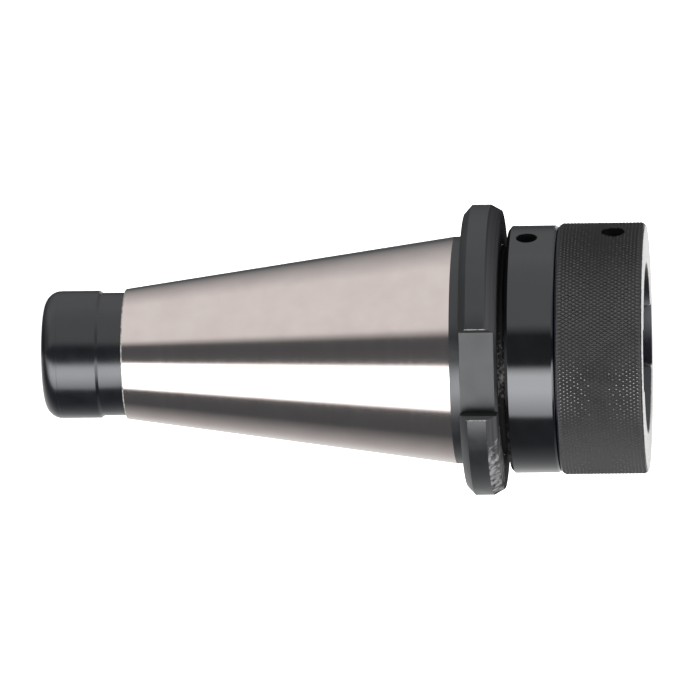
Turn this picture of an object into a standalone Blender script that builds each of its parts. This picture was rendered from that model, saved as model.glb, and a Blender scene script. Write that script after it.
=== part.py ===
"""Quick-change milling tool holder with a No. 50 steep-taper shank.

The nose holds smaller tapered adapters, such as side lock end mill holders, under a bayonet
locking nut. The shank stands on its pilot end at z = 0, its axis is +Z, and the nut's mouth
looks up. Dimensions below are millimetres and degrees, and the scene is in metres. The two
drive slots of the flange lie along Y, and so do the two bayonet slots of the open nut.
"""

import math

import bmesh
import bpy
from mathutils import Matrix, Vector

MM = 0.001
SEGMENTS = 80
DRILL_POINT = 118.0

# Steep-taper shank
TAPER_RATIO = 7 / 24
GAUGE_DIA = 69.85
TAPER_LENGTH = 101.8
PILOT_DIA = 39.3
PILOT_LENGTH = 25.0
PILOT_ROUND = 5.0
RELIEF_DEPTH = 0.7
RELIEF_LENGTH = 7.2
RELIEF_EDGE = 1.6
TAPER_EDGE = 0.7
SHOULDER_LENGTH = 3.2

# Flange with its two drive slots, and the neck in front of it
FLANGE_DIA = 89.3
FLANGE_THICKNESS = 11.3
FLANGE_REAR_BEVEL = (2.7, 2.4)
FLANGE_FRONT_BEVEL = (1.8, 3.2)
DRIVE_SLOT_WIDTH = 25.7
DRIVE_SLOT_FLOOR = 35.3
DRIVE_SLOT_EDGE = 0.5
NECK_LENGTH = 2.4
NECK_FILLET = 0.8

# Collar with its spanner hole. It stands proud of the journal by one step and of the neck by another.
COLLAR_STEP = 7.0
NECK_STEP = 6.5
COLLAR_LENGTH = 15.1
COLLAR_REAR_BEVEL = (1.2, 1.0)
COLLAR_FRONT_BEVEL = (0.5, 0.8)
COLLAR_HOLE_DIA = 6.4
COLLAR_HOLE_DEPTH = 8.0
COLLAR_HOLE_FROM_FACE = 9.0
COLLAR_HOLE_ANGLE = -164.1

# Nose journal, on which the nut turns, with grooves for its seal and its retaining ring. The
# wall is the steel left between the journal and the socket's mouth.
NOSE_WALL = 8.775
RUNNING_GAP = 0.3
SEAL_SETBACK = 1.6
SEAL_SECTION = 2.2
GROOVE_LAND = 1.4
RING_SECTION = 2.4
RING_SPLIT = 6.0
RING_SPLIT_ANGLE = 45.0
NOSE_LAND = 1.1
NOSE_BEVEL = 0.6

# Socket for the adapter's taper, and the bores behind it
SOCKET_DIA = 44.45
SOCKET_LENGTH = 65.4
SOCKET_EDGE = 0.5
THROUGH_BORE_DIA = 18.0
DRAW_HOLE_DIA = 20.75
DRAW_HOLE_DEPTH = 61.5
DRAW_HOLE_MOUTH = 2.2

# Drive keys and their screws
KEY_WIDTH = 15.9
KEY_SEAT_DEPTH = 4.0
KEY_STANDOUT = 5.7
KEY_SETBACK = 0.7
KEY_SHY = 0.4
KEY_EDGE = 0.6
SCREW_SPACING = 8.8
SCREW_DIA = 3.0
SCREW_LENGTH = 12.0
SCREW_HEAD_DIA = 5.5
SCREW_HEAD_HEIGHT = 3.0
SCREW_SOCKET_FLATS = 2.5
SCREW_SOCKET_DEPTH = 1.5

# Locking nut. Its wall goes outwards from its bore, and its lip reaches inwards.
NUT_WALL = 7.3
NUT_EDGE = 0.9
NUT_BORE_EDGE = 0.8
LUG_ROOM = 6.9
LIP_THICKNESS = 6.0
LIP_REACH = 5.3
MOUTH_EDGE = 0.5
BAYONET_WIDTH = 17.2
BAYONET_SHY = 0.8
BAYONET_CORNER = 0.5
BAYONET_LEAD_IN = (1.0, 2.0)
CAM_RISE = 0.7
CAM_ENTRY = 20.0
CAM_RETURN = 165.0
NUT_HOLE_DIA = 7.3
NUT_HOLE_DEPTH = 4.5
NUT_HOLE_FROM_FACE = 9.5
NUT_HOLE_ANGLE = -166.9
LOCKING_TURN = 75.0
REST_TURN = -1.6

# Stop pin, fixed in the collar's face and running in an arc slot of the nut
STOP_PIN_DIA = 3.5
STOP_PIN_STANDOUT = 3.5
STOP_PIN_SEAT = 6.0
STOP_PIN_INSET = 3.6
STOP_PIN_ANGLE = 60.0
STOP_PIN_EDGE = 0.4

BLACK, GROUND = 0, 1

# Radii that follow from the sizes above
gauge_radius = GAUGE_DIA / 2
socket_radius = SOCKET_DIA / 2
journal_radius = socket_radius + NOSE_WALL
collar_radius = journal_radius + COLLAR_STEP
neck_radius = collar_radius - NECK_STEP
nut_bore_radius = journal_radius + RUNNING_GAP
nut_radius = nut_bore_radius + NUT_WALL
mouth_radius = nut_bore_radius - LIP_REACH
bayonet_reach = nut_bore_radius - BAYONET_SHY
stop_pin_reach = nut_bore_radius + STOP_PIN_INSET
seal_radius = journal_radius + RUNNING_GAP / 2 - SEAL_SECTION / 2
ring_radius = journal_radius + RUNNING_GAP / 2
ring_groove_reach = RING_SECTION / 2 + RUNNING_GAP

# Heights that follow, from the pilot's end upwards
z_taper = PILOT_LENGTH
z_gauge = z_taper + TAPER_LENGTH
z_flange = z_gauge + SHOULDER_LENGTH
z_neck = z_flange + FLANGE_THICKNESS
z_collar = z_neck + NECK_LENGTH
z_face = z_collar + COLLAR_LENGTH
z_nut = z_face + RUNNING_GAP
z_seal_groove = z_face + SEAL_SETBACK
seal_groove_width = SEAL_SECTION + 2 * RUNNING_GAP
z_seal = z_seal_groove + seal_groove_width / 2
z_ring_groove = z_seal_groove + seal_groove_width + GROOVE_LAND
ring_groove_width = RING_SECTION + 2 * RUNNING_GAP
z_ring = z_ring_groove + ring_groove_width / 2
z_key_seat = z_ring_groove + ring_groove_width + NOSE_LAND
z_nose = z_key_seat + KEY_SEAT_DEPTH
z_lip = z_nose + LUG_ROOM
z_mouth = z_lip + LIP_THICKNESS


def material(name, colour, roughness, metallic=1.0):
    made = bpy.data.materials.new(name)
    made.use_nodes = True
    shader = made.node_tree.nodes["Principled BSDF"]
    shader.inputs["Base Color"].default_value = (*colour, 1.0)
    shader.inputs["Roughness"].default_value = roughness
    shader.inputs["Metallic"].default_value = metallic
    made.diffuse_color = (*colour, 1.0)
    return made


def add_object(name, mesh, parent=None, materials=()):
    """Turns a bmesh into a smooth-shaded object with crisp edges."""
    bmesh.ops.recalc_face_normals(mesh, faces=mesh.faces)
    data = bpy.data.meshes.new(name)
    mesh.to_mesh(data)
    mesh.free()
    data.shade_smooth()
    data.set_sharp_from_angle(angle=math.radians(20))
    for entry in materials:
        data.materials.append(entry)
    made = bpy.data.objects.new(name, data)
    bpy.context.scene.collection.objects.link(made)
    made.parent = parent
    return made


def cut(target, cutter):
    """Takes the cutter's shape out of the target and keeps the cutter as a hidden guide."""
    cutter.hide_render = True
    cutter.display_type = "WIRE"
    modifier = target.modifiers.new(cutter.name, "BOOLEAN")
    modifier.operation = "DIFFERENCE"
    modifier.solver = "EXACT"
    modifier.object = cutter


def turned(profile_at, segments=SEGMENTS, ground=()):
    """A closed profile carried once round Z. profile_at(angle) gives its (radius, height) points.

    ground holds the numbers of the profile's sides that are ground bright.
    """
    mesh = bmesh.new()
    rings = []
    for step in range(segments):
        angle = 2 * math.pi * step / segments
        points = profile_at(angle)
        ring = []
        for radius, height in points:
            place = Vector((radius * math.cos(angle), radius * math.sin(angle), height))
            ring.append(mesh.verts.new(place * MM))
        rings.append(ring)
    on_axis = [radius == 0 for radius, height in points]
    for step, ring in enumerate(rings):
        following = rings[(step + 1) % segments]
        for side in range(len(ring)):
            other = (side + 1) % len(ring)
            if on_axis[side] and on_axis[other]:
                continue
            face = mesh.faces.new((ring[side], following[side], following[other], ring[other]))
            face.material_index = GROUND if side in ground else BLACK
    if any(on_axis):
        bmesh.ops.remove_doubles(mesh, verts=mesh.verts, dist=0.001 * MM)
    return mesh


def extruded(outline, bottom, top):
    """A flat (x, y) outline given thickness along Z."""
    mesh = bmesh.new()
    base = mesh.faces.new([mesh.verts.new((x * MM, y * MM, bottom * MM)) for x, y in outline])
    raised = bmesh.ops.extrude_face_region(mesh, geom=[base])["geom"]
    lifted = [item for item in raised if isinstance(item, bmesh.types.BMVert)]
    bmesh.ops.translate(mesh, verts=lifted, vec=(0, 0, (top - bottom) * MM))
    return mesh


def block(low, high):
    """A box between two corners."""
    outline = [(low[0], low[1]), (high[0], low[1]), (high[0], high[1]), (low[0], high[1])]
    return extruded(outline, low[2], high[2])


def radial_drill(diameter, depth, surface_radius, height, angle, sides=32):
    """A cutter for a round hole drilled square to the axis, with a drill point at its floor."""
    radius = diameter / 2
    point = radius / math.tan(math.radians(DRILL_POINT / 2))
    profile = [(0, -depth - point), (radius, -depth), (radius, radius), (0, radius)]
    mesh = turned(lambda turn: profile, segments=sides)
    outward = Matrix.Rotation(math.radians(angle), 4, "Z") @ Matrix.Rotation(math.pi / 2, 4, "Y")
    place = outward @ Matrix.Translation((0, 0, surface_radius * MM))
    bmesh.ops.transform(mesh, matrix=Matrix.Translation((0, 0, height * MM)) @ place, verts=mesh.verts)
    return mesh


def arc(centre, radius, start, end, count):
    """Points on an arc of the (x, y) or (radius, height) plane, from one angle in degrees to another."""
    points = []
    for step in range(count + 1):
        angle = math.radians(start + (end - start) * step / count)
        points.append((centre[0] + radius * math.cos(angle), centre[1] + radius * math.sin(angle)))
    return points


def shank_profile():
    """The shank's section, up its outer side and back down through the socket and the bores.

    Also gives the numbers of the sides that are ground: the taper and the socket.
    """
    pilot_radius = PILOT_DIA / 2
    relief_radius = pilot_radius - RELIEF_DEPTH
    z_relief = z_taper - RELIEF_LENGTH
    small_radius = gauge_radius - TAPER_LENGTH * TAPER_RATIO / 2
    flange_radius = FLANGE_DIA / 2
    seal_floor = seal_radius - SEAL_SECTION / 2 - RUNNING_GAP
    ring_floor = ring_radius - ring_groove_reach

    points = arc((pilot_radius - PILOT_ROUND, PILOT_ROUND), PILOT_ROUND, -90, 0, 5)
    points += [
        (pilot_radius, z_relief - RELIEF_EDGE),
        (relief_radius, z_relief),
        (relief_radius, z_taper),
    ]
    taper_side = len(points)
    points += [
        (small_radius - TAPER_EDGE / 3, z_taper),
        (small_radius + TAPER_EDGE * TAPER_RATIO / 2, z_taper + TAPER_EDGE),
        (gauge_radius, z_gauge),
        (gauge_radius, z_flange),
        (flange_radius - FLANGE_REAR_BEVEL[0], z_flange),
        (flange_radius, z_flange + FLANGE_REAR_BEVEL[1]),
        (flange_radius, z_neck - FLANGE_FRONT_BEVEL[1]),
        (flange_radius - FLANGE_FRONT_BEVEL[0], z_neck),
        (neck_radius + NECK_FILLET, z_neck),
        (neck_radius, z_neck + NECK_FILLET),
        (neck_radius, z_collar - NECK_FILLET),
        (neck_radius + NECK_FILLET, z_collar),
        (collar_radius - COLLAR_REAR_BEVEL[0], z_collar),
        (collar_radius, z_collar + COLLAR_REAR_BEVEL[1]),
        (collar_radius, z_face - COLLAR_FRONT_BEVEL[1]),
        (collar_radius - COLLAR_FRONT_BEVEL[0], z_face),
        (journal_radius, z_face),
        (journal_radius, z_seal_groove),
        (seal_floor, z_seal_groove),
        (seal_floor, z_seal_groove + seal_groove_width),
        (journal_radius, z_seal_groove + seal_groove_width),
        (journal_radius, z_ring_groove),
        (ring_floor, z_ring_groove),
        (ring_floor, z_ring_groove + ring_groove_width),
        (journal_radius, z_ring_groove + ring_groove_width),
        (journal_radius, z_nose - NOSE_BEVEL),
        (journal_radius - NOSE_BEVEL, z_nose),
        (socket_radius + SOCKET_EDGE, z_nose),
    ]
    socket_side = len(points)
    z_socket_end = z_nose - SOCKET_LENGTH
    socket_end_radius = socket_radius - (SOCKET_LENGTH - SOCKET_EDGE) * TAPER_RATIO / 2
    bore_radius = THROUGH_BORE_DIA / 2
    draw_radius = DRAW_HOLE_DIA / 2
    points += [
        (socket_radius, z_nose - SOCKET_EDGE),
        (socket_end_radius, z_socket_end),
        (bore_radius, z_socket_end - (socket_end_radius - bore_radius)),
        (bore_radius, DRAW_HOLE_DEPTH + (draw_radius - bore_radius)),
        (draw_radius, DRAW_HOLE_DEPTH),
        (draw_radius, DRAW_HOLE_MOUTH),
        (draw_radius + DRAW_HOLE_MOUTH, 0),
    ]
    return points, {taper_side, taper_side + 1, socket_side}


def drive_slot_outline():
    """Plan of one drive slot, towards +Y, its corners bevelled where they meet the flange's edge."""
    half = DRIVE_SLOT_WIDTH / 2
    wide = half + DRIVE_SLOT_EDGE
    corner = math.sqrt((FLANGE_DIA / 2) ** 2 - wide**2)
    right = [(half, DRIVE_SLOT_FLOOR), (half, corner - DRIVE_SLOT_EDGE), (wide, corner), (wide, FLANGE_DIA)]
    left = [(-x, y) for x, y in reversed(right)]
    return right + left


def shank_body(parent, materials):
    """Shank, flange, collar and nose: one turned and milled piece of steel."""
    points, ground = shank_profile()
    body = add_object("shank_body", turned(lambda turn: points, ground=ground), parent, materials)

    z_slot_low = z_flange - SHOULDER_LENGTH / 2
    z_slot_high = z_neck + NECK_LENGTH / 2
    for number, side in enumerate((-1, 1), start=1):
        outline = [(side * x, side * y) for x, y in drive_slot_outline()]
        slot = extruded(outline, z_slot_low, z_slot_high)
        cut(body, add_object(f"drive_slot_cutter_{number}", slot, parent))

    hole = radial_drill(
        COLLAR_HOLE_DIA, COLLAR_HOLE_DEPTH, collar_radius, z_face - COLLAR_HOLE_FROM_FACE, COLLAR_HOLE_ANGLE
    )
    cut(body, add_object("collar_hole_cutter", hole, parent))

    half_seat = KEY_WIDTH / 2 + RUNNING_GAP
    seat_end = journal_radius + KEY_WIDTH
    seat = block((-seat_end, -half_seat, z_key_seat), (seat_end, half_seat, z_mouth))
    cut(body, add_object("key_seat_cutter", seat, parent))

    for number, (x, y) in enumerate(screw_places(), start=1):
        radius = SCREW_DIA / 2 + RUNNING_GAP
        depth = screw_seat_height() + z_key_seat - SCREW_LENGTH - 2 * RUNNING_GAP
        profile = [(0, depth), (radius, depth), (radius, z_nose), (0, z_nose)]
        hole = turned(lambda turn: profile, segments=16)
        cutter = add_object(f"screw_hole_cutter_{number}", hole, parent)
        cutter.location = Vector((x, y, 0)) * MM
        cut(body, cutter)

    radius = STOP_PIN_DIA / 2 + RUNNING_GAP
    low = z_face - STOP_PIN_SEAT - RUNNING_GAP
    profile = [(0, low), (radius, low), (radius, z_nut), (0, z_nut)]
    cutter = add_object("stop_pin_hole_cutter", turned(lambda turn: profile, segments=20), parent)
    cutter.location = stop_pin_place()
    cut(body, cutter)
    return body


def lip_height(angle):
    """Height of the lip's underside above the nut's rear face: a cam that tightens on both lugs.

    It is highest where a lug enters beside a bayonet slot and falls to its clamping height over
    the locking turn. It climbs back inside the next slot.
    """
    past_slot = (math.degrees(angle) + 90) % 180
    if past_slot < CAM_ENTRY:
        share = 1.0
    elif past_slot < LOCKING_TURN:
        share = 1.0 - (past_slot - CAM_ENTRY) / (LOCKING_TURN - CAM_ENTRY)
    elif past_slot < CAM_RETURN:
        share = 0.0
    else:
        share = (past_slot - CAM_RETURN) / (180 - CAM_RETURN)
    return z_lip - z_nut + CAM_RISE * share


def nut_profile(angle):
    """The nut's section at an angle, measured from its rear face."""
    length = z_mouth - z_nut
    groove = z_ring_groove - z_nut
    groove_radius = ring_radius + ring_groove_reach
    underside = lip_height(angle)
    return [
        (nut_bore_radius + NUT_BORE_EDGE, 0),
        (nut_radius - NUT_EDGE, 0),
        (nut_radius, NUT_EDGE),
        (nut_radius, length - NUT_EDGE),
        (nut_radius - NUT_EDGE, length),
        (mouth_radius + MOUTH_EDGE, length),
        (mouth_radius, length - MOUTH_EDGE),
        (mouth_radius, underside),
        (nut_bore_radius, underside),
        (nut_bore_radius, groove + ring_groove_width),
        (groove_radius, groove + ring_groove_width),
        (groove_radius, groove),
        (nut_bore_radius, groove),
        (nut_bore_radius, NUT_BORE_EDGE),
    ]


def bayonet_outline(half):
    """Plan of both bayonet slots as one bar through the mouth, its corners bevelled at the bore."""
    tip_angle = math.degrees(math.asin(half / bayonet_reach))
    tip = arc((0, 0), bayonet_reach, 90 - tip_angle, 90 + tip_angle, 9)
    corner_height = math.sqrt(mouth_radius**2 - half**2)
    neck_half = half + BAYONET_CORNER
    neck_height = math.sqrt(mouth_radius**2 - neck_half**2) - RUNNING_GAP
    right = [(neck_half, neck_height), (half, corner_height + BAYONET_CORNER)]
    left = [(-x, y) for x, y in reversed(right)]
    upper = right + tip + left
    lower = [(-x, -y) for x, y in upper]
    return upper + lower


def bayonet_slots_mesh():
    """Cutter for both slots. It widens towards the nut's end face, so that the lugs find their way."""
    half = BAYONET_WIDTH / 2
    wider, depth = BAYONET_LEAD_IN
    length = z_mouth - z_nut
    levels = [
        (z_nose - z_nut + RUNNING_GAP, half),
        (length - depth, half),
        (length + depth, half + 2 * wider),
    ]
    mesh = bmesh.new()
    rings = []
    for height, half_width in levels:
        outline = bayonet_outline(half_width)
        rings.append([mesh.verts.new((x * MM, y * MM, height * MM)) for x, y in outline])
    mesh.faces.new(rings[0])
    mesh.faces.new(rings[-1])
    for ring, higher in zip(rings, rings[1:]):
        for side in range(len(ring)):
            other = (side + 1) % len(ring)
            mesh.faces.new((ring[side], ring[other], higher[other], higher[side]))
    bmesh.ops.triangulate(mesh, faces=mesh.faces)
    return mesh


def stop_slot_mesh():
    """Cutter for the arc slot in the nut's rear face, in which the stop pin runs."""
    half_width = STOP_PIN_DIA / 2 + RUNNING_GAP
    play = math.degrees(2 * RUNNING_GAP / stop_pin_reach)
    start = STOP_PIN_ANGLE - play
    end = STOP_PIN_ANGLE + LOCKING_TURN + play
    outer = arc((0, 0), stop_pin_reach + half_width, start, end, 24)
    end_centre = arc((0, 0), stop_pin_reach, end, end, 1)[0]
    start_centre = arc((0, 0), stop_pin_reach, start, start, 1)[0]
    end_cap = arc(end_centre, half_width, end, end + 180, 8)
    inner = arc((0, 0), stop_pin_reach - half_width, end, start, 24)
    start_cap = arc(start_centre, half_width, start + 180, start + 360, 8)
    outline = outer + end_cap[1:] + inner[1:] + start_cap[1:-1]
    return extruded(outline, -NUT_EDGE, STOP_PIN_STANDOUT)


def bayonet_nut(parent, materials):
    """The knurled nut. Its origin is on the axis, at the centre of its rear face.

    Its angles are given at the open stop, and it rests a little way off that stop. The cam's
    faces are twisted, so each is split into two flat ones before the slots are cut.
    """
    nut_mesh = turned(nut_profile, ground={4})
    flat_enough = math.radians(0.01)
    bmesh.ops.connect_verts_nonplanar(nut_mesh, angle_limit=flat_enough, faces=nut_mesh.faces)
    nut = add_object("bayonet_nut", nut_mesh, parent, materials)
    nut.location.z = z_nut * MM
    nut.rotation_euler.z = math.radians(REST_TURN)

    cut(nut, add_object("bayonet_slot_cutter", bayonet_slots_mesh(), nut))

    height = z_mouth - z_nut - NUT_HOLE_FROM_FACE
    hole = radial_drill(NUT_HOLE_DIA, NUT_HOLE_DEPTH, nut_radius, height, NUT_HOLE_ANGLE)
    cut(nut, add_object("nut_hole_cutter", hole, nut))

    cut(nut, add_object("stop_slot_cutter", stop_slot_mesh(), nut))
    return nut


def dust_seal(parent, materials):
    """A round-section rubber ring in the journal's first groove."""
    section = arc((seal_radius, 0), SEAL_SECTION / 2, 0, 324, 9)
    seal = add_object("dust_seal", turned(lambda turn: section, segments=64), parent, materials)
    seal.location.z = z_seal * MM
    return seal


def retaining_ring(parent, materials):
    """A split ring of round wire, half in the journal's groove and half in the nut's."""
    opening = RING_SPLIT / ring_radius
    steps = 64
    mesh = bmesh.new()
    rings = []
    for step in range(steps + 1):
        angle = math.radians(RING_SPLIT_ANGLE) + opening / 2 + (2 * math.pi - opening) * step / steps
        ring = []
        for radius, height in arc((ring_radius, 0), RING_SECTION / 2, 0, 315, 7):
            place = Vector((radius * math.cos(angle), radius * math.sin(angle), height))
            ring.append(mesh.verts.new(place * MM))
        rings.append(ring)
    for ring, following in zip(rings, rings[1:]):
        for side in range(len(ring)):
            other = (side + 1) % len(ring)
            mesh.faces.new((ring[side], following[side], following[other], ring[other]))
    mesh.faces.new(rings[0])
    mesh.faces.new(rings[-1])
    wire = add_object("retaining_ring", mesh, parent, materials)
    wire.location.z = z_ring * MM
    return wire


def stop_pin_place():
    angle = math.radians(STOP_PIN_ANGLE)
    return Vector((stop_pin_reach * math.cos(angle), stop_pin_reach * math.sin(angle), 0)) * MM


def stop_pin(parent, materials):
    """A dowel pressed into the collar's face: it ends the nut's turn at open and at locked."""
    radius = STOP_PIN_DIA / 2
    low = z_face - STOP_PIN_SEAT
    high = z_face + STOP_PIN_STANDOUT
    profile = [
        (0, low),
        (radius - STOP_PIN_EDGE, low),
        (radius, low + STOP_PIN_EDGE),
        (radius, high - STOP_PIN_EDGE),
        (radius - STOP_PIN_EDGE, high),
        (0, high),
    ]
    pin = add_object("stop_pin", turned(lambda turn: profile, segments=20), parent, materials)
    pin.location = stop_pin_place()
    return pin


def key_inner():
    return socket_radius + KEY_SETBACK


def key_outer():
    return journal_radius - KEY_SHY


def key_middle():
    """Distance of the key's screws from the axis."""
    edge = math.sqrt(key_outer() ** 2 - (SCREW_SPACING / 2) ** 2)
    return (key_inner() + edge) / 2


def key_height():
    return KEY_SEAT_DEPTH - RUNNING_GAP + KEY_STANDOUT


def screw_seat_height():
    """Height of the counterbore's floor above the key's seat: the head lies flush in the key."""
    return RUNNING_GAP + key_height() - SCREW_HEAD_HEIGHT - 2 * RUNNING_GAP


def screw_places():
    """The four screws, two in each key, as (x, y) in the holder's frame."""
    half = SCREW_SPACING / 2
    places = []
    for side in (1, -1):
        for offset in (-half, half):
            places.append((side * key_middle(), side * offset))
    return places


def drive_key(number, parent, materials):
    """A hardened key in the nose's seat: straight inside, turned outside to clear the nut."""
    half = KEY_WIDTH / 2
    outer = key_outer()
    corner = math.degrees(math.asin((half - KEY_EDGE) / outer))
    side_x = math.sqrt(outer**2 - (half - KEY_EDGE) ** 2) - KEY_EDGE
    outline = [(key_inner(), half), (key_inner(), -half), (side_x, -half)]
    outline += arc((0, 0), outer, -corner, corner, 8)
    outline += [(side_x, half)]
    key = add_object(f"drive_key_{number}", extruded(outline, 0, key_height()), parent, materials)
    key.location.z = (z_key_seat + RUNNING_GAP) * MM
    key.rotation_euler.z = math.pi * (number - 1)

    shaft = SCREW_DIA / 2 + RUNNING_GAP
    head = SCREW_HEAD_DIA / 2 + RUNNING_GAP
    seat = screw_seat_height() - RUNNING_GAP
    above = key_height() + KEY_EDGE
    profile = [(0, -KEY_EDGE), (shaft, -KEY_EDGE), (shaft, seat), (head, seat), (head, above), (0, above)]
    for place, offset in enumerate((-SCREW_SPACING / 2, SCREW_SPACING / 2), start=1):
        bore = turned(lambda turn: profile, segments=24)
        cutter = add_object(f"key_{number}_bore_cutter_{place}", bore, key)
        cutter.location = Vector((key_middle(), offset, 0)) * MM
        cut(key, cutter)
    return key


def key_screw(number, place, parent, materials):
    """A socket cap screw. Its origin is under its head, on its own axis."""
    shaft = SCREW_DIA / 2
    head = SCREW_HEAD_DIA / 2
    edge = SCREW_DIA / 10
    profile = [
        (0, -SCREW_LENGTH),
        (shaft - edge, -SCREW_LENGTH),
        (shaft, -SCREW_LENGTH + edge),
        (shaft, 0),
        (head, 0),
        (head, SCREW_HEAD_HEIGHT - edge),
        (head - edge, SCREW_HEAD_HEIGHT),
        (0, SCREW_HEAD_HEIGHT),
    ]
    screw = add_object(f"key_screw_{number}", turned(lambda turn: profile, segments=24), parent, materials)
    screw.location = Vector((*place, z_key_seat + screw_seat_height() + RUNNING_GAP)) * MM

    corner_radius = SCREW_SOCKET_FLATS / math.sqrt(3)
    floor = SCREW_HEAD_HEIGHT - SCREW_SOCKET_DEPTH
    socket = extruded(arc((0, 0), corner_radius, 0, 300, 5), floor, SCREW_HEAD_HEIGHT + SCREW_SOCKET_DEPTH)
    cut(screw, add_object(f"screw_{number}_socket_cutter", socket, screw))
    return screw


def main():
    for old in list(bpy.data.objects):
        bpy.data.objects.remove(old)

    black = material("black_oxide_steel", (0.035, 0.035, 0.038), 0.32)
    ground = material("ground_steel", (0.56, 0.54, 0.52), 0.22)
    spring = material("spring_steel", (0.30, 0.30, 0.31), 0.30)
    hardened = material("hardened_steel", (0.42, 0.41, 0.40), 0.28)
    blackened = material("blackened_screw_steel", (0.03, 0.03, 0.03), 0.4)
    rubber = material("seal_rubber", (0.02, 0.02, 0.02), 0.6, metallic=0.0)

    holder = bpy.data.objects.new("holder", None)
    bpy.context.scene.collection.objects.link(holder)

    shank_body(holder, [black, ground])
    bayonet_nut(holder, [black, ground])
    dust_seal(holder, [rubber])
    retaining_ring(holder, [spring])
    stop_pin(holder, [hardened])
    for number in (1, 2):
        drive_key(number, holder, [hardened])
    for number, place in enumerate(screw_places(), start=1):
        key_screw(number, place, holder, [blackened])


main()
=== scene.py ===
"""Quick-change milling tool holder: the looks of its steel, in a white studio.

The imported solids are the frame. The two big turned pieces, the shank and the bayonet nut, are
made again here with round, finely divided surfaces, softened edges, the nut's real knurl and the
shank's drawbar thread. The small fittings keep their own solids.

Lengths are in millimetres and angles in degrees, and the scene is in metres. Z is the axis, from
the pilot's end up to the nut's end face. A bevel is how far it goes in, and how far along.
"""

import math

import bmesh
import bpy
from mathutils import Matrix, Vector


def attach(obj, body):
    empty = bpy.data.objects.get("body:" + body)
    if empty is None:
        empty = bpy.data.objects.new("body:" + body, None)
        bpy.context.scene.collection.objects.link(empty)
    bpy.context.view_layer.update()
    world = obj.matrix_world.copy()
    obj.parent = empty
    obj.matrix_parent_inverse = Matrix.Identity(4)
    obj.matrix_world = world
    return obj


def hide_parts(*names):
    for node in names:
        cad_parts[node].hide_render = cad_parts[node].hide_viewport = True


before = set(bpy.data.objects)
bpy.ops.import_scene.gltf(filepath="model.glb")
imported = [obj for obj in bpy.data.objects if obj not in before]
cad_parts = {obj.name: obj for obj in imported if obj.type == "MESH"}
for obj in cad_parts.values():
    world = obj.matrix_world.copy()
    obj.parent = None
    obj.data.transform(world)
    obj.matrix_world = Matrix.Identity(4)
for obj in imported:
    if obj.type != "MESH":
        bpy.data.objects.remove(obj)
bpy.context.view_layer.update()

MM = 0.001
SMOOTH_ANGLE = 24.0

# Camera: a long lens from the side, a little above the middle, turned so the axis lies across
CAMERA_DISTANCE = 2.6
CAMERA_AIM = 0.09396
CAMERA_ANGLE = -100.5
CAMERA_ELEVATION = 4.654
CAMERA_ROLL = 0.675
CAMERA_LENS = 434.4
CAMERA_DROP = 0.0004  # metres, as the distance and the aim are

# Studio. Its lights lie round the axis, in a dim room. The angles are degrees from the camera's side
# towards the image's top: where a light begins, is full from, is full to and ends. Then its level.
STUDIO_ROOM = 0.11
STUDIO_LIGHTS = [
    (-68, -64, -19, -15, 2.9),  # window, narrow and hot
    (-66, -40, -25, -18, 3.5),  # the window's hottest part
    (13, 23, 95, 157, 0.94),  # screen, broad and dim
    (-200, -180, -155, -100, 0.75),  # wall behind the object
]
STUDIO_BRIGHTEST = 7.0
STUDIO_DARK = 0.4
STUDIO_DARK_TINT = (0.90, 1.0, 1.08)
ROOM_DIMS_BETWEEN = (0.72, 0.95)
ROOM_DIMS_TO = 0.35
CARD_BOTTOM = (-0.02, 0.04)
CARD_SIDES = (-0.88, -0.97)
CARD_LIGHT = 1.05
BACKGROUND_LIGHT = 1.2
FLOOR_RADIUS = 9.0
FLOOR_LIGHT = 1.1

# Shank
TAPER_RATIO = 7 / 24
GAUGE_RADIUS = 69.85 / 2
TAPER_LENGTH = 101.8
PILOT_RADIUS = 39.3 / 2
PILOT_LENGTH = 25.0
PILOT_ROUND = 5.0
RELIEF_DEPTH = 0.7
RELIEF_LENGTH = 7.2
RELIEF_EDGE = 0.9
TAPER_EDGE = 0.4
TAPER_INNERMOST = 19.6
SHOULDER_LENGTH = 3.2
FLANGE_RADIUS = 89.3 / 2
FLANGE_THICKNESS = 11.3
FLANGE_REAR_BEVEL = (2.7, 2.4)
FLANGE_FRONT_BEVEL = (1.8, 3.2)
DRIVE_SLOT_WIDTH = 25.7
DRIVE_SLOT_FLOOR = 35.3
DRIVE_SLOT_EDGE = 1.3
DRIVE_SLOT_FRONT = (0.8, 0.9)
# width of the scuffed edge strips, which are painted pale as highlight lines
RUBBED_HIGHLIGHT_WIDTH = 0.3
NECK_RADIUS = 31.5
NECK_LENGTH = 2.4
NECK_FILLET = 0.8
COLLAR_RADIUS = 38.0
COLLAR_LENGTH = 15.1
COLLAR_REAR_BEVEL = (1.2, 1.0)
COLLAR_FRONT_BEVEL = (0.5, 0.8)
COLLAR_HOLE_EDGE = 0.15
COLLAR_HOLE = (6.4, 8.0, 9.0, -164.1)  # diameter, depth, distance from the front face, angle
JOURNAL_RADIUS = 31.0
RUNNING_GAP = 0.3
SEAL_SETBACK = 1.6
SEAL_SECTION = 2.2
GROOVE_LAND = 1.4
RING_SECTION = 2.4
NOSE_LAND = 1.1
NOSE_BEVEL = 0.6
SOCKET_RADIUS = 44.45 / 2
SOCKET_LENGTH = 65.4
SOCKET_EDGE = 0.5
THROUGH_BORE_RADIUS = 9.0
DRAW_HOLE_RADIUS = 20.75 / 2
DRAW_HOLE_DEPTH = 61.5
DRAW_HOLE_MOUTH = 2.2
THREAD_ROOT_RADIUS = 12.0
THREAD_PITCH = 3.0
THREAD_LENGTH = 48.0
THREAD_SLEEVE_WALL = 0.02
KEY_WIDTH = 15.9
KEY_SEAT_DEPTH = 4.0
SCREW_HOLE = (1.8, 6.5, 26.6, 4.4)  # radius, depth, places along and beside the keys
STOP_PIN_HOLE = (2.05, 6.3, 34.9, 60.0)  # radius, depth, distance from the axis, angle

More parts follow.
